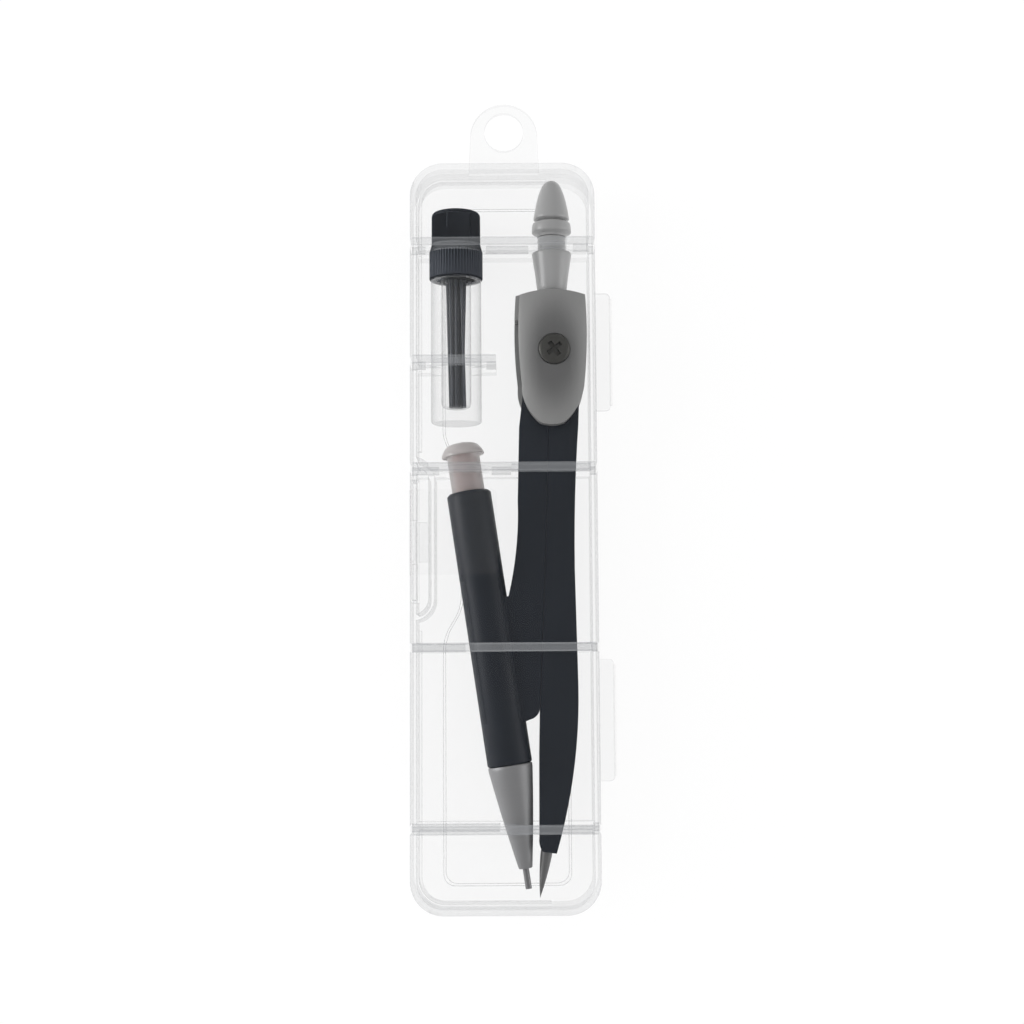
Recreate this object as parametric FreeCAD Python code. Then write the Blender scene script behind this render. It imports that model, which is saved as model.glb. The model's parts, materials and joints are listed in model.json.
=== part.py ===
import FreeCAD, Part
import math
import os

# Drafting compass set in a hinged translucent case, millimetres.
# The case lies flat: +Z up, hang tab towards +Y, hinge on +X, latch on -X.
# The origin is the centre of the flat underside of the case body.

Vector = FreeCAD.Vector

# ---- case -------------------------------------------------------------
case_half_x = 20.75
case_half_y = 83.3
case_height = 18.0
parting_z = case_height / 2
wall = 1.3
corner_r = 7.4
rim_r = 1.2
parting_gap = 0.05
lip_height = 1.1
lip_thick = 0.6
lip_gap = 0.3
interior_top = case_height - wall

tab_centre_x = 0.4
tab_half_x = 8.1
tab_side_y = 92.0
tab_top_y = 99.6
hang_hole_y = 93.1
hang_hole_r = 4.5
tab_thick = 1.5

hinge_x = 24.45
hinge_spans = ((-55.0, -28.0), (28.0, 55.0))
hinge_flange = 0.85
hinge_film_r = 0.3

latch_y = -1.3
latch_half = 18.2
fence_x = -15.4
fence_thick = 1.3
tongue_half = 13.4
tongue_gap = 0.2
tongue_low_z = 3.0
tongue_root_z = 12.0
tongue_thick = 1.1
window_half = 5.0
window_low_z = 4.0
window_high_z = 6.2
catch_reach = 0.5

rib_half = 0.95
base_rib_top = 5.9
cover_rib_low = 9.6
rib_over_legs_z = 15.2
full_rib_ys = (65.2, 14.4, -25.4, -65.0)
short_rib_y = 38.5
short_rib_end_x = -1.6

label_thick = 0.08
label_right_x = -1.4
label_low_y = -9.5
label_high_y = 9.3

panel_top_z = wall + 0.35
panel_bevel = 0.9

# ---- compass ----------------------------------------------------------
plane_z = 8.8
leg_half_thick = 2.7
handle_x = 11.2
pivot = Vector(11.5, 41.3, plane_z)
head_half_x = 7.4
head_left_step = 0.9
head_top_y = 54.9
head_shoulder_y = 48.6
head_low_y = 24.2
head_foot_x = 10.9
head_foot_half = 2.75
head_crown_r = 17.0
plate_inner = 2.95
head_half_thick = 5.9
skirt_gap = 0.1
skirt_wall = 1.3
screw_r = 1.5
screw_head_r = 3.5
screw_head_high = 0.7
eye_r = 6.4
eye_gap = 0.35
eye_half_gap = 0.15
running_gap = 0.05
washer_r = 3.4
nut_flats = 5.5
nut_thick = 2.2
core_r = 1.6
core_low_y = 49.6
core_high_y = 75.0

# ---- pencil -----------------------------------------------------------
pencil_tip = Vector(5.0, -78.2, plane_z)
pencil_lean = math.radians(8.4)
pencil_dir = Vector(-math.sin(pencil_lean), math.cos(pencil_lean), 0)
barrel_r = 5.0
barrel_bore_r = 3.3
barrel_mouth_r = 3.8
barrel_mouth_low = 85.7
barrel_low = 27.2
barrel_high = 88.8
clip_inner_r = 3.85
clip_low = 37.0
clip_high = 69.0
clip_open_deg = 96.0
lead_r = 0.25
sleeve_r = 0.7

# ---- lead tube --------------------------------------------------------
tube_x = -10.7
tube_z = 7.9
tube_low_y = 25.4
tube_floor_y = 28.9
tube_mouth_y = 64.0
tube_r = 5.75
tube_bore_r = 3.4
neck_r = 4.3
neck_low_y = 58.4
cap_top_y = 74.1
cap_edge_r = 0.9
cap_r = 5.5
cap_flare_r = 6.1
spare_lead_r = 0.35
spare_lead_length = 41.0
spare_lead_pitch = 0.86

axis_y = Vector(0, 1, 0)
axis_z = Vector(0, 0, 1)


def box(x0, x1, y0, y1, z0, z1):
    return Part.makeBox(x1 - x0, y1 - y0, z1 - z0, Vector(x0, y0, z0))


def cylinder(radius, start, end):
    """A cylinder from one centre point to the other."""
    return Part.makeCylinder(radius, (end - start).Length, start, end - start)


def rounded_block(x0, x1, y0, y1, z0, z1, radius):
    """A block with its four upright edges rounded."""
    block = box(x0, x1, y0, y1, z0, z1)
    upright = [e for e in block.Edges if abs(e.tangentAt(e.FirstParameter).z) > 0.99]
    return block.makeFillet(radius, upright)


def outline_wire(start, *steps):
    """A closed outline: each step is an end point, or a pair of middle and end points of an arc."""
    edges = []
    here = Vector(*start)
    for step in steps + (start,):
        if isinstance(step[0], tuple):
            middle, end = Vector(*step[0]), Vector(*step[1])
            edges.append(Part.Arc(here, middle, end).toShape())
        else:
            end = Vector(*step)
            if (end - here).Length > 1e-6:
                edges.append(Part.LineSegment(here, end).toShape())
        here = end
    return Part.Wire(edges)


def plate(z0, z1, start, *steps):
    """The outline in XY raised from z0 to z1."""
    face = Part.Face(outline_wire(start, *steps))
    face.translate(Vector(0, 0, z0))
    return face.extrude(Vector(0, 0, z1 - z0))


def turned(origin, direction, *steps):
    """A turned part: steps are (distance along the axis, radius), starting and ending on the axis."""
    points = [tuple((r, 0, s) for s, r in step) if isinstance(step[0], tuple)
              else (step[1], 0, step[0]) for step in steps]
    face = Part.Face(outline_wire(points[0], *points[1:]))
    solid = face.revolve(Vector(0, 0, 0), axis_z, 360)
    solid.Placement = FreeCAD.Placement(origin, FreeCAD.Rotation(axis_z, direction))
    return solid


def ring(origin, direction, low, high, outer, inner):
    """A plain tube between two distances along an axis."""
    start = origin + direction * low
    end = origin + direction * high
    return cylinder(outer, start, end).cut(cylinder(inner, start, end))


def join(first, *others):
    shape = first
    for other in others:
        shape = shape.fuse(other)
    return shape.removeSplitter()


def cut(first, *others):
    shape = first
    for other in others:
        shape = shape.cut(other)
    return shape


# ---- case -------------------------------------------------------------
def case_block(low_z, high_z, grow=0.0, rounded_z=None):
    """The case's outer block, with the edge at rounded_z rounded all round."""
    block = rounded_block(-case_half_x - grow, case_half_x + grow, -case_half_y - grow,
                          case_half_y + grow, low_z, high_z, corner_r + grow)
    if rounded_z is None:
        return block
    rim = [e for e in block.Edges if e.BoundBox.ZMax - e.BoundBox.ZMin < 1e-6
           and abs(e.BoundBox.ZMin - rounded_z) < 1e-6]
    return block.makeFillet(rim_r + grow, rim)


def case_hollow(low_z, high_z):
    return rounded_block(-case_half_x + wall, case_half_x - wall, -case_half_y + wall,
                         case_half_y - wall, low_z, high_z, corner_r - wall)


def latch_pocket(low_z, high_z, shrink=0.0):
    """The block that stands behind the latch, with its inner corners rounded."""
    return rounded_block(-case_half_x - 8, fence_x - shrink, latch_y - latch_half + shrink,
                         latch_y + latch_half - shrink, low_z, high_z, 5.0 - shrink)


def fence(low_z, high_z):
    walls = latch_pocket(low_z, high_z).cut(latch_pocket(low_z, high_z, fence_thick))
    return walls.common(case_block(low_z, high_z))


def content_rooms(y, spare, far_down):
    """Rooms in a rib at y for the pieces that lie in the case; far_down points out of the rib."""
    rooms = []

    def round_room(x, z, radius):
        start, end = Vector(x, y - 2, z), Vector(x, y + 2, z)
        reach = box(x - radius, x + radius, y - 2, y + 2, min(z, far_down), max(z, far_down))
        rooms.append(cylinder(radius, start, end).fuse(reach))

    if y > 30:
        round_room(tube_x, tube_z, cap_flare_r + spare)
    if y > 60:
        round_room(handle_x, plane_z, 4.4 + spare)
    if y < 30:
        along = (y - pencil_tip.y) / pencil_dir.y
        radius = min(barrel_r, 1.2 + 0.16 * along)
        round_room(pencil_tip.x + pencil_dir.x * along, plane_z, radius + spare)
    return rooms


def ribs(low_z, high_z, spare, far_down):
    """The cross ribs of one half of the case, with room for the pieces that lie across them."""
    solids = []
    for y in full_rib_ys + (short_rib_y,):
        end_x = short_rib_end_x if y == short_rib_y else case_half_x - wall
        rib = box(-case_half_x + wall, end_x, y - rib_half, y + rib_half, low_z, high_z)
        solids.append(cut(rib, *content_rooms(y, spare, far_down)))
    return solids


def raised_panel():
    """The raised panel on the floor: two broad ends joined by a waist, with bevelled edges."""
    right = case_half_x - wall - 4.6

    def outline(inset, z):
        left = -14.1 + inset
        waist = -10.0 + inset
        high, low = 77.0 - inset, -78.6 + inset
        far = right - inset
        turn = 2.0
        return outline_wire(
            (left + turn, high, z), (far - turn, high, z),
            ((far - 0.586 * turn, high - 0.586 * turn, z), (far, high - turn, z)), (far, low + turn, z),
            ((far - 0.586 * turn, low + 0.586 * turn, z), (far - turn, low, z)), (left + turn, low, z),
            ((left + 0.586 * turn, low + 0.586 * turn, z), (left, low + turn, z)), (left, -23.0, z),
            (waist, -16.0, z), (waist, 17.0, z), (left, 22.0, z), (left, high - turn, z),
            ((left + 0.586 * turn, high - 0.586 * turn, z), (left + turn, high, z)))

    return Part.makeLoft([outline(0, wall - 0.2), outline(panel_bevel, panel_top_z)], True, True)


def hinge_flanges(low_z, high_z, film_room):
    """The two thin flanges of one half that end at the hinge films."""
    solids = []
    for low_y, high_y in hinge_spans:
        flange = rounded_block(case_half_x - 4, hinge_x - 0.05, low_y, high_y, low_z, high_z, 1.2)
        flange = flange.cut(box(0, case_half_x - 0.5, low_y - 1, high_y + 1, low_z - 1, high_z + 1))
        film = cylinder(film_room, Vector(hinge_x, low_y - 1, parting_z),
                        Vector(hinge_x, high_y + 1, parting_z))
        solids.append(flange.cut(film))
    return solids


def hinge_films():
    films = []
    for low_y, high_y in hinge_spans:
        films.append(cylinder(hinge_film_r, Vector(hinge_x, low_y + 1.2, parting_z),
                              Vector(hinge_x, high_y - 1.2, parting_z)))
    return Part.makeCompound(films)


def hang_tab():
    low_y = case_half_y - wall / 2
    left, right = tab_centre_x - tab_half_x, tab_centre_x + tab_half_x
    high_z = parting_z - parting_gap
    body = plate(high_z - tab_thick, high_z, (left, low_y, 0), (right, low_y, 0),
                 (right - 0.4, tab_side_y, 0),
                 ((tab_centre_x, tab_top_y, 0), (left + 0.4, tab_side_y, 0)))
    hole = cylinder(hang_hole_r, Vector(tab_centre_x, hang_hole_y, 0),
                    Vector(tab_centre_x, hang_hole_y, case_height))
    return body.cut(hole)


def rim_lip():
    """The upstand inside the rim of the base that enters the cover, left off along the hinge."""
    inner = wall + lip_gap
    high_z = parting_z + lip_height
    low_z = parting_z - 2
    outside = rounded_block(-case_half_x + inner, case_half_x - inner, -case_half_y + inner,
                            case_half_y - inner, low_z, high_z, corner_r - inner)
    deeper = inner + lip_thick
    inside = rounded_block(-case_half_x + deeper, case_half_x - deeper, -case_half_y + deeper,
                           case_half_y - deeper, low_z - 1, high_z + 1, corner_r - deeper)
    ledge = rounded_block(-case_half_x + wall / 2, case_half_x - wall / 2, -case_half_y + wall / 2,
                          case_half_y - wall / 2, low_z, parting_z - parting_gap, corner_r - wall / 2)
    lip = outside.fuse(ledge).cut(inside)
    lip = lip.cut(box(10, 30, -90, 90, 0, case_height))
    lip = lip.cut(box(-30, fence_x + 2, latch_y - latch_half - 2, latch_y + latch_half + 2, 0, case_height))
    for y in full_rib_ys + (short_rib_y,):
        lip = lip.cut(box(-30, 30, y - rib_half - 0.4, y + rib_half + 0.4, parting_z, case_height))
    return lip


def make_case_base():
    high_z = parting_z - parting_gap
    body = case_block(0, high_z, 0.0, 0.0).cut(case_hollow(wall, case_height))
    body = join(body, rim_lip(), fence(wall / 2, high_z), raised_panel(), hang_tab(),
                *hinge_flanges(high_z - hinge_flange, high_z, hinge_film_r))
    body = join(body, *ribs(wall / 2, base_rib_top, 0.35, case_height))
    body = body.cut(box(-30, -case_half_x + wall + 0.2, latch_y - tongue_half - 0.4,
                        latch_y + tongue_half + 0.4, tongue_low_z - 0.3, case_height))
    catch_outer_x = -case_half_x + tongue_thick - catch_reach
    catch = box(catch_outer_x, fence_x - fence_thick / 2, latch_y - window_half + 0.5,
                latch_y + window_half - 0.5, window_low_z + 0.3, window_low_z + 1.5)
    return join(body, catch)


def make_case_cover():
    low_z = parting_z + parting_gap
    body = case_block(low_z, case_height, 0.0, case_height).cut(case_hollow(0, interior_top))
    body = join(body, fence(low_z, case_height - wall / 2),
                *hinge_flanges(low_z, low_z + hinge_flange, hinge_film_r + 0.05))
    body = join(body, *ribs(cover_rib_low, case_height - wall / 2, 1.0, 0.0))
    legs_room = plate(0, rib_over_legs_z, (2.0, 20, 0), (25, 20, 0), (25, -75, 0),
                      (3, -75, 0), (-0.5, -25, 0))
    body = body.cut(legs_room.common(case_hollow(0, interior_top)))
    handle_side = box(handle_x, case_half_x - wall, 62, 68, 0, plane_z + 2.5)
    body = body.cut(handle_side)
    return body.cut(box(-30, -case_half_x + wall + 0.05, latch_y - tongue_half - tongue_gap,
                        latch_y + tongue_half + tongue_gap, 0, tongue_root_z + 0.1))


def make_latch_tongue():
    left = -case_half_x
    tongue = box(left, left + tongue_thick, latch_y - tongue_half, latch_y + tongue_half,
                 tongue_low_z, tongue_root_z)
    corners = [e for e in tongue.Edges if abs(e.tangentAt(e.FirstParameter).x) > 0.99
               and e.BoundBox.ZMax < tongue_low_z + 0.1]
    tongue = tongue.makeFillet(2.0, corners)
    window = box(left - 1, left + wall + 1, latch_y - window_half, latch_y + window_half,
                 window_low_z, window_high_z)
    grip = box(left, left + 0.35, latch_y - 4, latch_y + 4, tongue_low_z, tongue_low_z + 0.6)
    return tongue.cut(window).cut(grip)


def make_seal_label():
    skin = case_block(parting_z, case_height + label_thick, label_thick, case_height + label_thick)
    skin = skin.cut(case_block(parting_z - 1, case_height, 0.0, case_height))
    patch = rounded_block(-30, label_right_x, label_low_y, label_high_y,
                          tongue_root_z + 0.4, case_height + 1, 1.4)
    return skin.common(patch)


# ---- compass ----------------------------------------------------------
def make_handle_grip():
    """The pointed grip with its groove and ring, bored for the steel core."""
    origin = Vector(handle_x, 0, plane_z)
    body = turned(origin, axis_y, (68.2, 0), (68.2, 3.3), (68.7, 3.4), (69.2, 4.5),
                  ((70.3, 4.47), (71.35, 4.3)), (71.9, 3.0), (72.35, 4.1),
                  ((76.6, 3.36), (80.1, 2.15)), ((81.0, 1.4), (81.5, 0.3)), (81.5, 0))
    return body.cut(cylinder(core_r, origin + axis_y * 60, origin + axis_y * core_high_y))


def make_handle_stem():
    """The waisted stem between the grip and the head."""
    origin = Vector(handle_x, 0, plane_z)
    body = turned(origin, axis_y, (55.1, 0), (55.1, 3.25), ((59.8, 3.86), (64.3, 4.52)), (64.5, 4.45),
                  (65.15, 3.2), (68.1, 3.2), (68.1, 0))
    return body.cut(cylinder(core_r, origin + axis_y * 50, origin + axis_y * core_high_y))


def make_handle_core():
    origin = Vector(handle_x, 0, plane_z)
    return cylinder(core_r, origin + axis_y * core_low_y, origin + axis_y * core_high_y)


def shield(inset, z0, z1, step=0.0):
    """The head's shield outline: an arched top, nearly straight flanks and a round foot.

    step moves the left flank outwards, as the rear cover and the skirts have it."""
    left, right = handle_x - head_half_x + inset - step, handle_x + head_half_x - inset
    top, low = head_top_y - inset, head_low_y + inset
    foot_left, foot_right = head_foot_x - head_foot_half, head_foot_x + head_foot_half
    return plate(z0, z1, (left, top - 0.9, 0), ((handle_x, top, 0), (right, top - 0.9, 0)),
                 ((right + 0.3, 44.0, 0), (right - 0.3, 34.0, 0)),
                 ((right - 1.95, 28.5, 0), (foot_right, low + 0.6, 0)),
                 ((head_foot_x, low, 0), (foot_left, low + 0.6, 0)),
                 ((left + 1.5, 28.5, 0), (left + 0.4, 34.0, 0)),
                 ((left - 0.3, 44.0, 0), (left, top - 0.9, 0)))


def head_shell(side):
    """One cover of the head: a crowned plate with a skirt round its upper part; side is +1 in front."""
    inner, outer = plate_inner, head_half_thick
    slab = shield(0, plane_z + inner, plane_z + outer, 0.0 if side > 0 else head_left_step)
    crown = cylinder(head_crown_r, Vector(handle_x, 20, plane_z + outer - head_crown_r),
                     Vector(handle_x, 60, plane_z + outer - head_crown_r))
    slab = slab.common(crown)
    skirt = shield(0, plane_z + skirt_gap, plane_z + inner, head_left_step)
    skirt = skirt.cut(shield(skirt_wall, plane_z, plane_z + inner + 1, head_left_step))
    skirt = skirt.cut(box(0, 30, 0, head_shoulder_y, 0, case_height))
    seat = box(handle_x - 3.2, handle_x + 3.2, core_low_y - 0.2, head_top_y - 0.6,
               plane_z + skirt_gap, plane_z + inner)
    seat = seat.common(shield(0.1, plane_z, case_height))
    shell = join(slab, skirt, seat)
    shell = shell.cut(cylinder(core_r, Vector(handle_x, core_low_y, plane_z), Vector(handle_x, 60, plane_z)))
    shell = shell.cut(cylinder(screw_r, pivot, pivot + axis_z * 20))
    if side < 0:
        shell = shell.mirror(Vector(0, 0, plane_z), axis_z)
    return shell


def make_head_cover_front():
    sink = cylinder(screw_head_r + 0.1, pivot + axis_z * (head_half_thick - 1.3), pivot + axis_z * 20)
    return head_shell(1).cut(sink)


def make_head_cover_rear():
    return head_shell(-1).cut(hexagon(nut_flats + 0.1, head_half_thick - nut_thick - 0.1, 20))


def hexagon(flats, low, high):
    """A hexagonal prism behind the compass plane, between two depths below it."""
    radius = flats / math.sqrt(3)
    points = []
    for i in range(7):
        turn = math.radians(60 * i)
        points.append(pivot + Vector(radius * math.cos(turn), radius * math.sin(turn), -high))
    return Part.Face(Part.makePolygon(points)).extrude(Vector(0, 0, high - low))


def make_pivot_screw():
    seat = head_half_thick - 1.3
    top = seat + 1.3 + screw_head_high
    body = turned(pivot, axis_z, (-head_half_thick + 0.3, 0), (-head_half_thick + 0.3, screw_r),
                  (seat, screw_r), (seat, screw_head_r), (top - 0.5, screw_head_r),
                  ((top - 0.12, screw_head_r - 0.3), (top, screw_head_r - 0.9)), (top, 0))
    slot = box(-1.9, 1.9, -0.32, 0.32, top - 1.1, 20)
    cross = slot.fuse(slot.rotated(Vector(0, 0, 0), axis_z, 90))
    cross.rotate(Vector(0, 0, 0), axis_z, 25)
    cross.translate(pivot)
    return body.cut(cross)


def make_pivot_nut():
    nut = hexagon(nut_flats, head_half_thick - nut_thick, head_half_thick)
    return nut.cut(cylinder(screw_r, pivot - axis_z * 20, pivot))


def make_friction_washers():
    """Two thin washers between the covers and the leg eyes, and one between the eyes."""
    washers = []
    outer = leg_half_thick - eye_half_gap
    for low, high in ((-plate_inner, -outer - running_gap), (outer + running_gap, plate_inner),
                      (-eye_half_gap + running_gap, eye_half_gap - running_gap)):
        washers.append(ring(pivot, axis_z, low, high, washer_r, screw_r))
    return Part.makeCompound(washers)


def leg_body(layer, *outline):
    """A leg: full thickness away from the pivot, and one half-thick eye; layer is +1 in front."""
    outer = leg_half_thick
    outer_eye = leg_half_thick - eye_half_gap
    low, high = (eye_half_gap, outer_eye) if layer > 0 else (-outer_eye, -eye_half_gap)
    full = plate(plane_z - outer, plane_z + outer, *outline)
    room = cylinder(eye_r + eye_gap, pivot - axis_z * 20, pivot + axis_z * 20)
    link = plate(plane_z + low, plane_z + high, *outline)
    eye = cylinder(eye_r, pivot + axis_z * low, pivot + axis_z * high)
    leg = join(full.cut(room), link, eye)
    return leg.cut(cylinder(screw_r + running_gap, pivot - axis_z * 20, pivot + axis_z * 20))


def make_needle_leg():
    leg = leg_body(1, (10.6, 36.0, 0), (10.25, 24.7, 0), (9.15, -8.0, 0), (7.75, -40.0, 0),
                   (7.55, -48.5, 0), (7.45, -67.5, 0), ((7.6, -69.2, 0), (8.2, -70.2, 0)),
                   (11.2, -70.6, 0), ((14.6, -56.0, 0), (16.3, -34.0, 0)),
                   ((16.0, -20.0, 0), (15.75, -8.0, 0)), ((15.95, 7.8, 0), (16.85, 24.7, 0)),
                   (17.3, 36.0, 0))
    return leg.cut(needle_shape())


def needle_shape():
    """The needle: its shank is held in the leg and its point leans towards the lead."""
    root = Vector(9.0, -70.4, plane_z)
    tip = Vector(7.5, -80.4, plane_z)
    direction = (root - tip).normalize()
    length = (root - tip).Length
    return turned(tip, direction, (0, 0), (2.6, 0.5), (7.0, 1.1), (length - 0.6, 1.3),
                  (length + 8.0, 1.3), (length + 8.0, 0))


def clip_ring(outer, inner, low, high, open_deg):
    """A tube about the pencil's axis that is open over open_deg towards the front."""
    tube = ring(pencil_tip, pencil_dir, low, high, outer, inner)
    start = pencil_tip + pencil_dir * (low - 1)
    across = axis_z.cross(pencil_dir).normalize()
    reach = 20.0
    half = math.radians(open_deg / 2)
    left = start + (axis_z * math.cos(half) + across * math.sin(half)) * reach
    right = start + (axis_z * math.cos(half) - across * math.sin(half)) * reach
    wedge = Part.Face(Part.makePolygon([start, left, right, start]))
    return tube.cut(wedge.extrude(pencil_dir * (high - low + 2)))


def make_pencil_leg():
    """The short leg: its end is a clip that wraps round the back of the pencil."""
    leg = leg_body(-1, (10.55, 36.0, 0), (10.2, 24.7, 0), (9.1, -8.0, 0), (7.76, -38.6, 0),
                   ((7.1, -40.4, 0), (5.6, -41.3, 0)), (4.4, -41.8, 0), (0.6, -41.8, 0),
                   (-4.3, -14.0, 0), (0.9, -14.0, 0), ((2.9, -1.2, 0), (3.1, 7.8, 0)),
                   (3.5, 24.0, 0), (4.9, 36.0, 0))
    barrel_room = cylinder(barrel_r, pencil_tip, pencil_tip + pencil_dir * 90)
    shank = leg.cut(barrel_room)
    shank = max(shank.Solids, key=lambda s: s.Volume)
    return join(shank, clip_ring(barrel_r, clip_inner_r, clip_low, clip_high, clip_open_deg))


# ---- pencil -----------------------------------------------------------
def along_pencil(*steps):
    return turned(pencil_tip, pencil_dir, *steps)


def pencil_ring(low, high, outer, inner):
    return ring(pencil_tip, pencil_dir, low, high, outer, inner)


def make_pencil_barrel():
    body = along_pencil((barrel_low, 0), (barrel_low, barrel_r - 0.3), (barrel_low + 0.3, barrel_r),
                        (barrel_high - 0.6, barrel_r), (barrel_high, barrel_r - 0.6), (barrel_high, 0))
    body = body.cut(cylinder(barrel_bore_r, pencil_tip, pencil_tip + pencil_dir * 100))
    body = body.cut(cylinder(barrel_mouth_r, pencil_tip + pencil_dir * barrel_mouth_low,
                             pencil_tip + pencil_dir * 100))
    recess = clip_ring(barrel_r + 1, clip_inner_r, clip_low, clip_high, clip_open_deg)
    return body.cut(recess)


def make_pencil_cone():
    """The nose cone with the thread that screws into the barrel."""
    body = along_pencil((4.3, 0), (4.3, 1.45), (4.6, 1.6), ((16.0, 3.5), (26.3, 4.95)), (27.1, 4.95),
                        (27.1, barrel_bore_r), (33.0, barrel_bore_r), (33.0, 0))
    bore = along_pencil((0, 0), (0, sleeve_r), (9.0, sleeve_r), (9.0, 1.0), (10.0, 2.1), (34.0, 2.1), (34.0, 0))
    return body.cut(bore)


def make_lead_sleeve():
    return pencil_ring(-0.2, 9.0, sleeve_r, lead_r + 0.03)


def make_writing_lead():
    return along_pencil((-0.1, 0), (0.1, lead_r), (58.0, lead_r), (58.0, 0))


def make_clutch_ring():
    return pencil_ring(13.0, 15.2, 2.1, 1.25)


def make_clutch_chuck():
    """The brass chuck: jaws at the front and a shank that carries the lead reservoir."""
    body = along_pencil((11.2, 0), (11.2, 0.9), (12.6, 1.2), (29.0, 1.2), (29.0, 0))
    return body.cut(cylinder(lead_r + 0.1, pencil_tip, pencil_tip + pencil_dir * 90))


def make_lead_reservoir():
    return pencil_ring(25.0, 86.0, 1.9, 1.2)


def make_pencil_spring():
    """The clutch spring: plain turns round the chuck, between the cone's step and the reservoir."""
    turns = []
    wire = 0.22
    low, high, count = 15.5, 24.7, 9
    for i in range(count):
        centre = pencil_tip + pencil_dir * (low + (high - low) * i / (count - 1))
        turns.append(Part.makeTorus(1.65, wire, centre, pencil_dir))
    return Part.makeCompound(turns)


def make_push_button():
    """The mushroom button on the end of the reservoir, hollow for the eraser."""
    body = along_pencil((84.0, 0), (84.0, 3.2), (88.0, 3.2), (88.1, 3.7), (97.5, 3.7), (97.0, 4.6),
                        (97.2, 4.85), ((98.4, 4.42), (99.5, 3.5)), ((100.0, 2.0), (100.2, 0.3)), (100.2, 0))
    hollow = along_pencil((83.0, 0), (83.0, 1.9), (98.0, 1.9), (98.0, 0))
    return body.cut(hollow)


def make_eraser_plug():
    return along_pencil((88.0, 0), (88.0, 1.85), (97.2, 1.85), (97.6, 1.5), (97.6, 0))


# ---- lead tube --------------------------------------------------------
def along_tube(*steps):
    return turned(Vector(tube_x, 0, tube_z), axis_y, *steps)


def make_lead_tube_body():
    body = along_tube((tube_low_y, 0), (tube_low_y, tube_r - 0.5), (tube_low_y + 0.5, tube_r),
                      (neck_low_y, tube_r), (neck_low_y, neck_r), (tube_mouth_y, neck_r), (tube_mouth_y, 0))
    bore = along_tube((tube_floor_y, 0), (tube_floor_y, tube_bore_r), (80, tube_bore_r), (80, 0))
    return body.cut(bore)


def make_lead_tube_cap():
    """The push-on cap: a plain crown above a flared grip."""
    body = along_tube((neck_low_y + 0.2, 0), (neck_low_y + 0.2, cap_flare_r - 0.2),
                      (neck_low_y + 0.5, cap_flare_r), (65.0, cap_flare_r), (66.7, cap_r),
                      (cap_top_y - cap_edge_r, cap_r),
                      ((cap_top_y - 0.293 * cap_edge_r, cap_r - 0.293 * cap_edge_r),
                       (cap_top_y, cap_r - cap_edge_r)), (cap_top_y, 0))
    room = along_tube((neck_low_y, 0), (neck_low_y, neck_r + running_gap),
                      (tube_mouth_y + 0.5, neck_r + running_gap), (tube_mouth_y + 0.5, tube_bore_r - 0.2),
                      (72.6, tube_bore_r - 0.2), (72.6, 0))
    return body.cut(room)


def make_spare_leads():
    """A hexagonal bundle of spare leads, stood on the tube's floor."""
    leads = []
    for row in range(-1, 2):
        count = 3 - abs(row) + 1
        for i in range(count):
            x = tube_x + (i - (count - 1) / 2) * spare_lead_pitch
            z = tube_z + row * spare_lead_pitch * 0.87
            start = Vector(x, tube_floor_y + 0.02, z)
            leads.append(cylinder(spare_lead_r, start, start + axis_y * spare_lead_length))
    return Part.makeCompound(leads)


parts = {
    "case_base": make_case_base,
    "case_cover": make_case_cover,
    "hinge_films": hinge_films,
    "latch_tongue": make_latch_tongue,
    "seal_label": make_seal_label,
    "handle_grip": make_handle_grip,
    "handle_stem": make_handle_stem,
    "handle_core": make_handle_core,
    "head_cover_front": make_head_cover_front,
    "head_cover_rear": make_head_cover_rear,
    "pivot_screw": make_pivot_screw,
    "pivot_nut": make_pivot_nut,
    "friction_washers": make_friction_washers,
    "needle_leg": make_needle_leg,
    "needle": needle_shape,
    "pencil_leg": make_pencil_leg,
    "pencil_barrel": make_pencil_barrel,
    "pencil_cone": make_pencil_cone,
    "lead_sleeve": make_lead_sleeve,
    "writing_lead": make_writing_lead,
    "clutch_ring": make_clutch_ring,
    "clutch_chuck": make_clutch_chuck,
    "lead_reservoir": make_lead_reservoir,
    "pencil_spring": make_pencil_spring,
    "push_button": make_push_button,
    "eraser_plug": make_eraser_plug,
    "lead_tube_body": make_lead_tube_body,
    "lead_tube_cap": make_lead_tube_cap,
    "spare_leads": make_spare_leads,
}

os.makedirs("parts", exist_ok=True)
for name, make in parts.items():
    shape = make()
    print(name, "solids", len(shape.Solids), "valid", shape.isValid(), "volume", round(shape.Volume, 2))
    shape.exportStep(os.path.join("parts", name + ".step"))
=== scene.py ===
import bpy
import json
import math
from mathutils import Matrix, Vector


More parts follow.
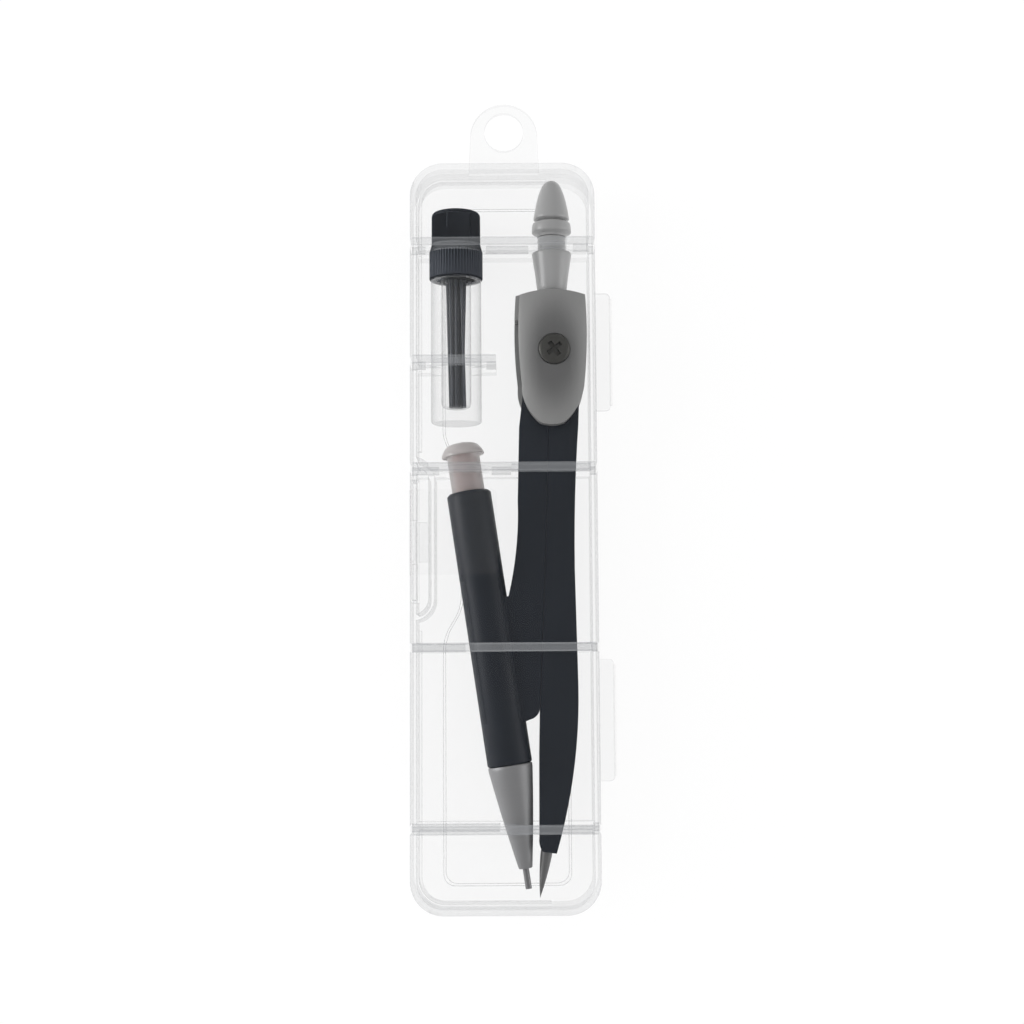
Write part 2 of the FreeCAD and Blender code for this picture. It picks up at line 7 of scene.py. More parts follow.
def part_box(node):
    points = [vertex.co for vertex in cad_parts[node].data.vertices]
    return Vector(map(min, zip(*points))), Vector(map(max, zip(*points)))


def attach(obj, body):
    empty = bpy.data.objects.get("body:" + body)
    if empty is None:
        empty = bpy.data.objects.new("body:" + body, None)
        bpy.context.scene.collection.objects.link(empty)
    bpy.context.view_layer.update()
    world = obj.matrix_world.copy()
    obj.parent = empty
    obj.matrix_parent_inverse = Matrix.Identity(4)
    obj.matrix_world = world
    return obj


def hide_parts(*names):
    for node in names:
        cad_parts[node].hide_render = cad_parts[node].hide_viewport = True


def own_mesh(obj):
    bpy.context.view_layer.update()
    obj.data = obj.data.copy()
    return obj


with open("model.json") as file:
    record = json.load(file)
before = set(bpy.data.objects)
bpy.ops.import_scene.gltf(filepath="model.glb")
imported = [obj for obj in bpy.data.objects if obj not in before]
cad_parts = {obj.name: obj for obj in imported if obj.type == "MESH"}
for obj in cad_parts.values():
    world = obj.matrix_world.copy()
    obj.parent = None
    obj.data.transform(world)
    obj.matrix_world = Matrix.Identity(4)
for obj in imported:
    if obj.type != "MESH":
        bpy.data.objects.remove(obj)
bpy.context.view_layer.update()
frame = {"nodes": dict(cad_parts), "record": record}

nodes = frame["nodes"]
mm = 0.001
print("frame loaded:", len(nodes), "CAD nodes")


def boxOf(name):
    low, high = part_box(name)
    return low, high, (low + high) / 2


handleMid = boxOf("handle_grip")[2]
tubeLow, tubeMid = boxOf("lead_tube_body")[0::2]
capLow, capMid = boxOf("lead_tube_cap")[0::2]
screwLow, screwHigh, screwMid = boxOf("pivot_screw")
penTurn = math.radians(8.4)          # the pencil leans this far from the case's length
penDir = Vector((-math.sin(penTurn), math.cos(penTurn), 0))


def newGroup(name, inputs, outputs):
    tree = bpy.data.node_groups.new(name, "ShaderNodeTree")
    for label, kind, value in inputs:
        socket = tree.interface.new_socket(name=label, in_out="INPUT", socket_type=kind)
        if value is not None:
            socket.default_value = value
    for label, kind in outputs:
        tree.interface.new_socket(name=label, in_out="OUTPUT", socket_type=kind)
    return tree, tree.nodes.new("NodeGroupInput"), tree.nodes.new("NodeGroupOutput")


def mathNode(tree, operation, first, second=None, clamp=False):
    node = tree.nodes.new("ShaderNodeMath")
    node.operation = operation
    node.use_clamp = clamp
    for index, value in enumerate((first, second)):
        if value is None:
            continue
        if isinstance(value, (int, float)):
            node.inputs[index].default_value = value
        else:
            tree.links.new(value, node.inputs[index])
    return node.outputs[0]


def mixColour(tree, factor, first, second, blendType="MIX"):
    node = tree.nodes.new("ShaderNodeMix")
    node.data_type = "RGBA"
    node.blend_type = blendType
    for socket, value in ((node.inputs[0], factor), (node.inputs[6], first), (node.inputs[7], second)):
        if isinstance(value, (int, float, tuple)):
            socket.default_value = value
        else:
            tree.links.new(value, socket)
    return node.outputs[2]


def buildMouldedSkin():
    tree, source, result = newGroup(
        "Moulded skin",
        [("Colour", "NodeSocketColor", (0.5, 0.5, 0.5, 1)), ("Scale", "NodeSocketFloat", 1.0),
         ("Clouding", "NodeSocketFloat", 0.1), ("Roughness", "NodeSocketFloat", 0.35),
         ("Grain", "NodeSocketFloat", 0.1), ("Scuffs", "NodeSocketFloat", 0.3)],
        [("Colour", "NodeSocketColor"), ("Roughness", "NodeSocketFloat"), ("Normal", "NodeSocketVector")])
    links = tree.links
    coords = tree.nodes.new("ShaderNodeTexCoord")
    mapping = tree.nodes.new("ShaderNodeMapping")
    links.new(coords.outputs["Object"], mapping.inputs["Vector"])
    links.new(source.outputs["Scale"], mapping.inputs["Scale"])
    cloud = tree.nodes.new("ShaderNodeTexNoise")
    cloud.inputs["Scale"].default_value = 90
    cloud.inputs["Detail"].default_value = 4
    links.new(mapping.outputs[0], cloud.inputs["Vector"])
    grain = tree.nodes.new("ShaderNodeTexNoise")
    grain.inputs["Scale"].default_value = 2600
    grain.inputs["Detail"].default_value = 3
    links.new(mapping.outputs[0], grain.inputs["Vector"])
    scratch = tree.nodes.new("ShaderNodeTexWave")
    scratch.inputs["Scale"].default_value = 160
    scratch.inputs["Distortion"].default_value = 14
    scratch.inputs["Detail"].default_value = 3
    links.new(mapping.outputs[0], scratch.inputs["Vector"])
    scuffLine = mathNode(tree, "POWER", scratch.outputs["Fac"], 14)
    scuff = mathNode(tree, "MULTIPLY", mathNode(tree, "MULTIPLY", scuffLine, cloud.outputs["Fac"]),
                     source.outputs["Scuffs"])
    shade = mathNode(tree, "MULTIPLY", mathNode(tree, "SUBTRACT", cloud.outputs["Fac"], 0.5),
                     source.outputs["Clouding"])
    lift = mathNode(tree, "ADD", 1.0, mathNode(tree, "ADD", shade, mathNode(tree, "MULTIPLY", scuff, 0.5)))
    bright = tree.nodes.new("ShaderNodeVectorMath")
    bright.operation = "SCALE"
    links.new(source.outputs["Colour"], bright.inputs[0])
    links.new(lift, bright.inputs["Scale"])
    links.new(bright.outputs[0], result.inputs["Colour"])
    rough = mathNode(tree, "ADD", source.outputs["Roughness"],
                     mathNode(tree, "ADD", mathNode(tree, "MULTIPLY", shade, 0.8),
                              mathNode(tree, "MULTIPLY", scuff, 0.35)), clamp=True)
    links.new(rough, result.inputs["Roughness"])
    bump = tree.nodes.new("ShaderNodeBump")
    bump.inputs["Distance"].default_value = 0.02 * mm
    links.new(source.outputs["Grain"], bump.inputs["Strength"])
    links.new(grain.outputs["Fac"], bump.inputs["Height"])
    links.new(bump.outputs[0], result.inputs["Normal"])
    return tree


def buildTurnedSkin():
    tree, source, result = newGroup(
        "Turned skin",
        [("Colour", "NodeSocketColor", (0.6, 0.6, 0.6, 1)), ("Axis", "NodeSocketVector", (0, 1, 0)),
         ("Pitch", "NodeSocketFloat", 5000.0), ("Roughness", "NodeSocketFloat", 0.25),
         ("Depth", "NodeSocketFloat", 0.2)],
        [("Colour", "NodeSocketColor"), ("Roughness", "NodeSocketFloat"), ("Normal", "NodeSocketVector")])
    links = tree.links
    coords = tree.nodes.new("ShaderNodeTexCoord")
    along = tree.nodes.new("ShaderNodeVectorMath")
    along.operation = "DOT_PRODUCT"
    links.new(coords.outputs["Object"], along.inputs[0])
    links.new(source.outputs["Axis"], along.inputs[1])
    wrap = tree.nodes.new("ShaderNodeTexNoise")
    wrap.noise_dimensions = "1D"
    wrap.inputs["Detail"].default_value = 2
    wrap.inputs["Scale"].default_value = 1.0
    links.new(mathNode(tree, "MULTIPLY", along.outputs["Value"], source.outputs["Pitch"]), wrap.inputs["W"])
    shade = mathNode(tree, "SUBTRACT", wrap.outputs["Fac"], 0.5)
    bright = tree.nodes.new("ShaderNodeVectorMath")
    bright.operation = "SCALE"
    links.new(source.outputs["Colour"], bright.inputs[0])
    links.new(mathNode(tree, "ADD", 1.0, mathNode(tree, "MULTIPLY", shade, 0.16)), bright.inputs["Scale"])
    links.new(bright.outputs[0], result.inputs["Colour"])
    links.new(mathNode(tree, "ADD", source.outputs["Roughness"], mathNode(tree, "MULTIPLY", shade, 0.2),
                       clamp=True), result.inputs["Roughness"])
    bump = tree.nodes.new("ShaderNodeBump")
    bump.inputs["Distance"].default_value = 0.02 * mm
    links.new(source.outputs["Depth"], bump.inputs["Strength"])
    links.new(wrap.outputs["Fac"], bump.inputs["Height"])
    links.new(bump.outputs[0], result.inputs["Normal"])
    return tree


mouldedSkin = buildMouldedSkin()
turnedSkin = buildTurnedSkin()


def newMaterial(name, **sockets):
    material = bpy.data.materials.new(name)
    material.use_nodes = True
    shader = material.node_tree.nodes["Principled BSDF"]
    for label, value in sockets.items():
        shader.inputs[label.replace("_", " ")].default_value = value
    return material, material.node_tree, shader


def addSkin(tree, shader, skin, **values):
    group = tree.nodes.new("ShaderNodeGroup")
    group.node_tree = skin
    for label, value in values.items():
        group.inputs[label].default_value = value
    tree.links.new(group.outputs["Colour"], shader.inputs["Base Color"])
    tree.links.new(group.outputs["Roughness"], shader.inputs["Roughness"])
    tree.links.new(group.outputs["Normal"], shader.inputs["Normal"])
    return group


def mouldedPlastic(name, colour, roughness=0.35, grain=0.1, clouding=0.1, scuffs=0.2, specular=0.5):
    material, tree, shader = newMaterial(name)
    shader.inputs["Specular IOR Level"].default_value = specular
    addSkin(tree, shader, mouldedSkin, Colour=(*colour, 1), Roughness=roughness, Grain=grain,
            Clouding=clouding, Scuffs=scuffs)
    return material


def turnedMetal(name, colour, axis, roughness=0.25, depth=0.2, pitch=5000.0, metallic=1.0):
    material, tree, shader = newMaterial(name, Metallic=metallic)
    addSkin(tree, shader, turnedSkin, Colour=(*colour, 1), Axis=axis, Roughness=roughness, Depth=depth,
            Pitch=pitch)
    return material


clearLook = {
    "base": {"colour": (0.42, 0.43, 0.44), "front": 0.034, "edge": 0.64, "power": 5.0, "rib": 0.0,
             "ribEdge": 0.03, "ribSide": 0.85, "lines": 0.10},
    "cover": {"colour": (0.44, 0.455, 0.475), "front": 0.012, "edge": 0.66, "power": 5.0, "rib": 0.25,
              "ribEdge": 0.14, "ribSide": 0.8, "lines": 0.0},
    "bead": {"colour": (0.42, 0.43, 0.44), "front": 0.2, "edge": 0.3, "power": 1.5, "rib": 0.0,
             "ribEdge": 0.0, "lines": 0.0},
    "tube": {"colour": (0.42, 0.43, 0.44), "front": 0.045, "edge": 0.75, "power": 2.8, "rib": 0.0,
             "ribEdge": 0.0, "lines": 0.0},
    "label": {"colour": (0.55, 0.55, 0.55), "front": 0.024, "edge": 0.45, "power": 1.6, "rib": 0.0,
              "ribEdge": 0.0, "lines": 0.0},
}
ribLook = {"middles": (65.2, 14.4, -25.4, -65.0), "shortMiddle": 38.5, "shortEnd": -1.6, "half": 0.97, "inner": 0.62,
           "linePitch": 0.55}


# masks of the cross ribs, their two edges, and the fine lines that the mould leaves along the floor
def buildRibBands():
    look = ribLook
    tree, source, result = newGroup("Rib bands", [("Short end", "NodeSocketFloat", look["shortEnd"] * mm)],
                                    [("Rib", "NodeSocketFloat"), ("Rib edge", "NodeSocketFloat"),
                                     ("Lines", "NodeSocketFloat")])
    coords = tree.nodes.new("ShaderNodeTexCoord")
    split = tree.nodes.new("ShaderNodeSeparateXYZ")
    tree.links.new(coords.outputs["Object"], split.inputs[0])
    leftPart = mathNode(tree, "LESS_THAN", split.outputs["X"], source.outputs["Short end"])

    def band(middle, half):
        node = tree.nodes.new("ShaderNodeMath")
        node.operation = "COMPARE"
        tree.links.new(split.outputs["Y"], node.inputs[0])
        node.inputs[1].default_value = middle * mm
        node.inputs[2].default_value = half * mm
        return node.outputs[0]

    def allBands(half):
        total = mathNode(tree, "MULTIPLY", band(look["shortMiddle"], half), leftPart)
        for middle in look["middles"]:
            total = mathNode(tree, "ADD", total, band(middle, half), clamp=True)
        return total

    whole = allBands(look["half"])
    tree.links.new(whole, result.inputs["Rib"])
    tree.links.new(mathNode(tree, "SUBTRACT", whole, allBands(look["inner"])), result.inputs["Rib edge"])
    wave = mathNode(tree, "SINE", mathNode(tree, "MULTIPLY", split.outputs["X"],
                                           2 * math.pi / (look["linePitch"] * mm)))
    breakUp = tree.nodes.new("ShaderNodeTexNoise")
    breakUp.inputs["Scale"].default_value = 120
    tree.links.new(coords.outputs["Object"], breakUp.inputs["Vector"])
    fine = mathNode(tree, "MULTIPLY", mathNode(tree, "POWER", mathNode(tree, "ABSOLUTE", wave), 6),
                    breakUp.outputs["Fac"])
    tree.links.new(fine, result.inputs["Lines"])
    return tree


ribBands = buildRibBands()


# see-through plastic: faint where it faces the eye, denser along its edges and where ribs stand below
def clearPlastic(name, look, roughness=0.2):
    material, tree, shader = newMaterial(name)
    shader.inputs["Specular IOR Level"].default_value = 0.5
    addSkin(tree, shader, mouldedSkin, Colour=(*look["colour"], 1), Roughness=roughness,
            Grain=0.05, Clouding=0.04, Scuffs=0.05)
    facing = tree.nodes.new("ShaderNodeLayerWeight")
    facing.inputs["Blend"].default_value = 0.5
    rise = mathNode(tree, "POWER", facing.outputs["Facing"], look["power"])
    side = mathNode(tree, "MULTIPLY", rise, look["edge"] - look["front"])
    if look["rib"]:
        bands = tree.nodes.new("ShaderNodeGroup")
        bands.node_tree = ribBands
        thin = mathNode(tree, "MULTIPLY", bands.outputs["Rib"], look["ribSide"])
        side = mathNode(tree, "MULTIPLY", side, mathNode(tree, "SUBTRACT", 1.0, thin))
        flat = mathNode(tree, "POWER", mathNode(tree, "SUBTRACT", 1.0, facing.outputs["Facing"]), 3)
        for mask, amount in (("Rib", look["rib"]), ("Rib edge", look["ribEdge"]), ("Lines", look["lines"])):
            if amount:
                more = mathNode(tree, "MULTIPLY", bands.outputs[mask], mathNode(tree, "MULTIPLY", flat, amount))
                side = mathNode(tree, "ADD", side, more)
    dense = mathNode(tree, "ADD", look["front"], side, clamp=True)
    tree.links.new(dense, shader.inputs["Alpha"])
    return material


# the head's own grey at its middle, and a lighter painted highlight colour towards its outline, where the curved
# edges catch the side light
paintedRimLightLook = {"colour": (0.125, 0.125, 0.125), "paintedRimColour": (0.27, 0.27, 0.267), "middle": (11.2, 40.2, 0),
           "size": (8.0, 15.6, 40), "start": 0.5, "end": 1.1}


# a mask for the painted highlight: it grows from the head's middle towards its outline
def buildPaintedRimLight():
    look = paintedRimLightLook
    tree, source, result = newGroup("Painted rim light", [("Start", "NodeSocketFloat", look["start"])],
                                    [("Rim", "NodeSocketFloat")])
    coords = tree.nodes.new("ShaderNodeTexCoord")
    offset = tree.nodes.new("ShaderNodeVectorMath")
    offset.operation = "SUBTRACT"
    tree.links.new(coords.outputs["Object"], offset.inputs[0])
    offset.inputs[1].default_value = [value * mm for value in look["middle"]]
    share = tree.nodes.new("ShaderNodeVectorMath")
    share.operation = "DIVIDE"
    tree.links.new(offset.outputs[0], share.inputs[0])
    share.inputs[1].default_value = [value * mm for value in look["size"]]
    reach = tree.nodes.new("ShaderNodeVectorMath")
    reach.operation = "LENGTH"
    tree.links.new(share.outputs[0], reach.inputs[0])
    spread = tree.nodes.new("ShaderNodeMapRange")
    spread.interpolation_type = "SMOOTHSTEP"
    tree.links.new(reach.outputs["Value"], spread.inputs["Value"])
    tree.links.new(source.outputs["Start"], spread.inputs["From Min"])
    spread.inputs["From Max"].default_value = look["end"]
    tree.links.new(spread.outputs[0], result.inputs["Rim"])
    return tree


paintedRimLight = buildPaintedRimLight()


# grey plastic with a painted highlight: its colour turns lighter from the middle towards the outline, where the
# curved edges catch the light
def headPlastic(name, look):
    material, tree, shader = newMaterial(name)
    skin = addSkin(tree, shader, mouldedSkin, Colour=(*look["colour"], 1), Roughness=0.38, Grain=0.08,
                   Clouding=0.08, Scuffs=0.12)
    fade = tree.nodes.new("ShaderNodeGroup")
    fade.node_tree = paintedRimLight
    # painted highlight: the grey is mixed towards the lighter rim colour by the mask
    tint = mixColour(tree, fade.outputs["Rim"], (*look["colour"], 1), (*look["paintedRimColour"], 1))
    tree.links.new(tint, skin.inputs["Colour"])
    return material


# clear or smoky plastic that light passes through
def glassyPlastic(name, colour, roughness, passing, ior, solid, clouding):
    material, tree, shader = newMaterial(name)
    shader.inputs["Transmission Weight"].default_value = passing
    shader.inputs["IOR"].default_value = ior
    shader.inputs["Alpha"].default_value = solid
    addSkin(tree, shader, mouldedSkin, Colour=(*colour, 1), Roughness=roughness, Grain=0.02,
            Clouding=clouding, Scuffs=0.02)
    return material


def makeMaterials():
    return {
        "base": clearPlastic("Frosted polypropylene base", clearLook["base"]),
        "cover": clearPlastic("Frosted polypropylene cover", clearLook["cover"]),
        "bead": clearPlastic("Floor outline", clearLook["bead"]),
        "label": clearPlastic("Seal film", clearLook["label"], 0.12),
        "tube": clearPlastic("Clear styrene", clearLook["tube"], 0.08),
        "button": glassyPlastic("Smoky button", (0.63, 0.60, 0.59), 0.3, 0.5, 1.45, 1.0, 0.04),
        "black": mouldedPlastic("Black satin plastic", (0.012, 0.0155, 0.0225), 0.46, 0.12, 0.4, 0.4, 0.2),
        "cap": mouldedPlastic("Cap plastic", (0.056, 0.064, 0.080), 0.6, 0.1, 0.2, 0.05, 0.2),
        # the head's grey carries a painted highlight towards its outline
        "grey": headPlastic("Grey head plastic", paintedRimLightLook),
        "lightGrey": mouldedPlastic("Light grey plastic", (0.37, 0.37, 0.37), 0.3, 0.06, 0.06, 0.15),
        "white": mouldedPlastic("White plastic", (0.8, 0.8, 0.8), 0.4),
        "eraser": mouldedPlastic("Pink eraser", (0.72, 0.42, 0.40), 0.7, 0.4, 0.15, 0.1, 0.3),
        "graphite": mouldedPlastic("Graphite", (0.048, 0.054, 0.066), 0.34, 0.15, 0.3, 0.3),
        "screw": turnedMetal("Blackened screw", (0.055, 0.054, 0.049), (0, 0, 1), 0.42, 0.2, 3000, 0.5),
        "steel": turnedMetal("Bright steel", (0.30, 0.30, 0.30), (0, 1, 0), 0.36),
        "point": turnedMetal("Needle steel", (0.15, 0.15, 0.15), (0, 1, 0), 0.45, 0.2, 5000, 0.6),
        "sleeve": turnedMetal("Dark drawn steel", (0.20, 0.20, 0.205), tuple(penDir), 0.36, 0.2, 4000, 0.8),
        "nose": turnedMetal("Silver nose", (0.25, 0.25, 0.255), tuple(penDir), 0.42, 0.15, 2600, 0.3),
        "brass": turnedMetal("Turned brass", (0.7, 0.5, 0.22), tuple(penDir), 0.25),
    }


materials = makeMaterials()
print("materials ready:", len(materials))

nodeFinish = {
    "case_base": "base", "case_cover": "cover", "hinge_films": "base", "latch_tongue": "cover",
    "seal_label": "label", "handle_grip": "lightGrey", "handle_stem": "lightGrey",
    "handle_core": "steel", "head_cover_front": "grey", "head_cover_rear": "grey",
    "pivot_screw": "screw", "pivot_nut": "steel", "friction_washers": "steel",
    "needle_leg": "black", "needle": "point", "pencil_leg": "black", "pencil_barrel": "black",
    "pencil_cone": "nose", "lead_sleeve": "sleeve", "writing_lead": "graphite", "clutch_ring": "brass",
    "clutch_chuck": "brass", "lead_reservoir": "white", "pencil_spring": "steel",
    "push_button": "button", "eraser_plug": "eraser", "lead_tube_body": "tube",
    "lead_tube_cap": "cap", "spare_leads": "graphite",
}
for name, finish in nodeFinish.items():
    nodes[name].data.materials.clear()
    nodes[name].data.materials.append(materials[finish])


cameraLook = {
    "place": (1.8 * mm, -34.78 * mm, 401.7 * mm),
    "tilt": 5.8,       # degrees towards the hang tab
    "roll": -0.34,
    "lens": 61.6,
}


def makeCamera():
    data = bpy.data.cameras.new("Camera")
    data.lens = cameraLook["lens"]
    data.sensor_width = 36
    data.clip_start = 0.01
    camera = bpy.data.objects.new("Camera", data)
    turn = Matrix.Rotation(math.radians(cameraLook["tilt"]), 4, "X")
    roll = Matrix.Rotation(math.radians(cameraLook["roll"]), 4, "Z")
    camera.matrix_world = Matrix.Translation(cameraLook["place"]) @ turn @ roll
    bpy.context.scene.collection.objects.link(camera)
    bpy.context.scene.camera = camera


def makeLight(name, place, size, power):
    data = bpy.data.lights.new(name, "AREA")
    data.shape = "SQUARE"
    data.size = size
    data.energy = power
    lamp = bpy.data.objects.new(name, data)
    lamp.location = place
    lamp.rotation_mode = "QUATERNION"
    lamp.rotation_quaternion = (-Vector(place)).to_track_quat("-Z", "Y")
    bpy.context.scene.collection.objects.link(lamp)


studioLook = {
    "world": 0.55,
    "lights": (("Left softbox", (-0.85, 0.1, 0.26), 0.5, 5.0), ("Right softbox", (0.85, 0.0, 0.26), 0.6, 2.0)),
    "floorGlow": 0.9,
}


def makeStudio():
    world = bpy.data.worlds.new("Studio")
    bpy.context.scene.world = world
    world.use_nodes = True
    world.node_tree.nodes["Background"].inputs[0].default_value = (1, 1, 1, 1)
    world.node_tree.nodes["Background"].inputs[1].default_value = studioLook["world"]
    for name, place, size, power in studioLook["lights"]:
        makeLight(name, place, size, power)
    bpy.ops.object.select_all(action="DESELECT")
    bpy.ops.mesh.primitive_plane_add(size=6, location=(0, 0, -0.02 * mm))
    floor = bpy.context.object
    floor.name = "studioFloor"
    material, tree, shader = newMaterial("Floor", Roughness=0.9)
    noise = tree.nodes.new("ShaderNodeTexNoise")
    noise.inputs["Scale"].default_value = 3
    colour = mixColour(tree, noise.outputs["Fac"], (0.14, 0.14, 0.14, 1), (0.15, 0.15, 0.15, 1))
    tree.links.new(colour, shader.inputs["Base Color"])
    shader.inputs["Specular IOR Level"].default_value = 0.0
    shader.inputs["Emission Color"].default_value = (1, 1, 1, 1)
    shader.inputs["Emission Strength"].default_value = studioLook["floorGlow"]
    floor.data.materials.append(material)
    scene = bpy.context.scene
    scene.view_settings.view_transform = "Standard"
    scene.cycles.transparent_max_bounces = 32


makeCamera()
makeStudio()
print("camera and studio ready")


bodyOf = {node: body for body, members in frame["record"]["behaviour"]["bodies"].items()
          for node in members}


def selectOnly(piece):
    bpy.ops.object.select_all(action="DESELECT")
    piece.select_set(True)
    bpy.context.view_layer.objects.active = piece


def applyBevel(piece, width, segments=2, angle=40):
    selectOnly(piece)
    edge = piece.modifiers.new("Bevel", "BEVEL")
    edge.limit_method = "ANGLE"
    edge.angle_limit = math.radians(angle)
    edge.width = width * mm
    edge.segments = segments
    edge.use_clamp_overlap = True
    bpy.ops.object.modifier_apply(modifier=edge.name)


def finishPiece(piece, name, node, finish=None, smooth=35):
    piece.name = name
    piece.data.name = name
    selectOnly(piece)
    bpy.ops.object.transform_apply(location=True, rotation=True, scale=True)
    bpy.ops.object.shade_smooth_by_angle(angle=math.radians(smooth))
    piece.data.materials.clear()
    piece.data.materials.append(materials[finish or nodeFinish[node]])
    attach(piece, bodyOf[node])
    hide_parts(node)


def copyOf(node):
    piece = bpy.data.objects.new(node + "Copy", nodes[node].data.copy())
    bpy.context.scene.collection.objects.link(piece)
    selectOnly(piece)
    if piece.data.has_custom_normals:
        bpy.ops.mesh.customdata_custom_splitnormals_clear()
    bpy.ops.object.mode_set(mode="EDIT")
    bpy.ops.mesh.select_all(action="SELECT")
    bpy.ops.mesh.remove_doubles(threshold=0.001 * mm)
    bpy.ops.mesh.dissolve_limited(angle_limit=math.radians(0.5))
    bpy.ops.object.mode_set(mode="OBJECT")
    return piece


# a turned piece: a circle extruded along its axis and resized at each step of (distance, radius)
def turnedPiece(origin, direction, steps, sides=72):
    bpy.ops.object.select_all(action="DESELECT")
    distance, radius = steps[0]
    turn = Vector((0, 0, 1)).rotation_difference(direction).to_euler()
    bpy.ops.mesh.primitive_circle_add(vertices=sides, radius=radius * mm, fill_type="NGON",
                                      location=origin + direction * distance * mm, rotation=turn)
    piece = bpy.context.object
    bpy.ops.object.mode_set(mode="EDIT")
    bpy.ops.mesh.select_all(action="SELECT")
    for nextDistance, nextRadius in steps[1:]:
        bpy.ops.mesh.extrude_region_move(
            TRANSFORM_OT_translate={"value": direction * (nextDistance - distance) * mm})
        grow = nextRadius / radius
        bpy.ops.transform.resize(value=(grow, grow, grow),
                                 center_override=origin + direction * nextDistance * mm)
        distance, radius = nextDistance, nextRadius
    bpy.ops.mesh.select_all(action="SELECT")
    bpy.ops.mesh.normals_make_consistent(inside=False)
    bpy.ops.object.mode_set(mode="OBJECT")
    return piece


handleLook = {
    "grip": ((68.2, 3.2), (68.25, 3.3), (68.7, 3.4), (68.8, 3.55), (69.1, 4.3), (69.25, 4.47), (69.6, 4.5),
             (70.3, 4.47), (70.9, 4.4), (71.3, 4.3), (71.45, 4.08), (71.8, 3.2), (71.9, 3.0), (72.0, 3.2),
             (72.28, 3.95), (72.4, 4.07), (72.8, 4.05), (74.2, 3.83), (75.6, 3.56), (76.8, 3.29), (78.0, 2.95),
             (79.1, 2.56), (80.1, 2.12), (80.6, 1.76), (81.0, 1.38), (81.25, 1.0), (81.42, 0.6), (81.5, 0.2)),
    "stem": ((55.1, 3.1), (55.2, 3.25), (56.6, 3.45), (58.2, 3.66), (59.8, 3.85), (61.4, 4.1), (62.9, 4.32),
             (64.1, 4.49), (64.3, 4.5), (64.45, 4.42), (64.6, 4.18), (65.0, 3.4), (65.15, 3.2), (65.3, 3.19),
             (68.0, 3.19), (68.1, 3.1)),
    "sides": 80,
}


def makeHandle():
    axis = Vector((handleMid.x, 0, handleMid.z))
    along = Vector((0, 1, 0))
    grip = turnedPiece(axis, along, handleLook["grip"], handleLook["sides"])
    finishPiece(grip, "handleGrip", "handle_grip", smooth=50)
    stem = turnedPiece(axis, along, handleLook["stem"], handleLook["sides"])
    finishPiece(stem, "handleStem", "handle_stem", smooth=50)


headLook = {"edge": 0.8, "segments": 5, "rearEdge": 0.35}


def makeHead():
    front = copyOf("head_cover_front")
    applyBevel(front, headLook["edge"], headLook["segments"], 38)
    finishPiece(front, "headFront", "head_cover_front", smooth=32)
    rear = copyOf("head_cover_rear")
    applyBevel(rear, headLook["rearEdge"], 3, 38)
    finishPiece(rear, "headRear", "head_cover_rear", smooth=32)


screwLook = {
    "headRadius": 3.5, "shankRadius": 1.5, "headHigh": 2.0, "crossTurn": 37,
    "wing": 2.15, "wingWide": 1.15, "recess": 1.0, "taper": 0.72,
}


def makeScrew():
    look = screwLook
    length = (screwHigh.z - screwLow.z) / mm
    seat = length - look["headHigh"]
    r = look["headRadius"]
    steps = ((0, look["shankRadius"] - 0.2), (0.2, look["shankRadius"]), (seat, look["shankRadius"]),
             (seat + 0.02, r - 0.12), (seat + 0.15, r), (length - 0.75, r), (length - 0.5, r - 0.06),
             (length - 0.3, r - 0.28), (length - 0.16, r - 0.7), (length - 0.06, r - 1.3), (length, 0.6))
    base = Vector((screwMid.x, screwMid.y, screwLow.z))
    screw = turnedPiece(base, Vector((0, 0, 1)), steps, 72)
    wings = []
    for turn in (0, 90):
        bpy.ops.object.select_all(action="DESELECT")
        bpy.ops.mesh.primitive_cube_add(size=1, location=(screwMid.x, screwMid.y, screwHigh.z))
        wing = bpy.context.object
        wing.scale = (look["wing"] * 2 * mm, look["wingWide"] * mm, look["recess"] * 2 * mm)
        wing.rotation_euler = (0, 0, math.radians(look["crossTurn"] + turn))
        bpy.ops.object.transform_apply(location=True, rotation=True, scale=True)
        for group in (wing.data.polygons, wing.data.edges):
            for part in group:
                part.select = False
        for point in wing.data.vertices:
            point.select = point.co.z < screwHigh.z
        bpy.ops.object.mode_set(mode="EDIT")
        taper = look["taper"]
        bpy.ops.transform.resize(value=(taper, taper, 1),
                                 center_override=(screwMid.x, screwMid.y, screwHigh.z))
        bpy.ops.object.mode_set(mode="OBJECT")
        wings.append(wing)
    for wing in wings:
        selectOnly(screw)
        recess = screw.modifiers.new("Recess", "BOOLEAN")
        recess.operation = "DIFFERENCE"
        recess.object = wing
        bpy.ops.object.modifier_apply(modifier=recess.name)
        bpy.data.objects.remove(wing)
    applyBevel(screw, 0.06, 2, 35)
    finishPiece(screw, "pivotScrew", "pivot_screw", smooth=30)


legLook = {"edge": 0.5, "segments": 3, "angle": 45}


def makeLegs():
    for node, name in (("needle_leg", "needleLeg"), ("pencil_leg", "pencilLeg")):
        leg = copyOf(node)
        applyBevel(leg, legLook["edge"], legLook["segments"], legLook["angle"])
        finishPiece(leg, name, node, smooth=35)


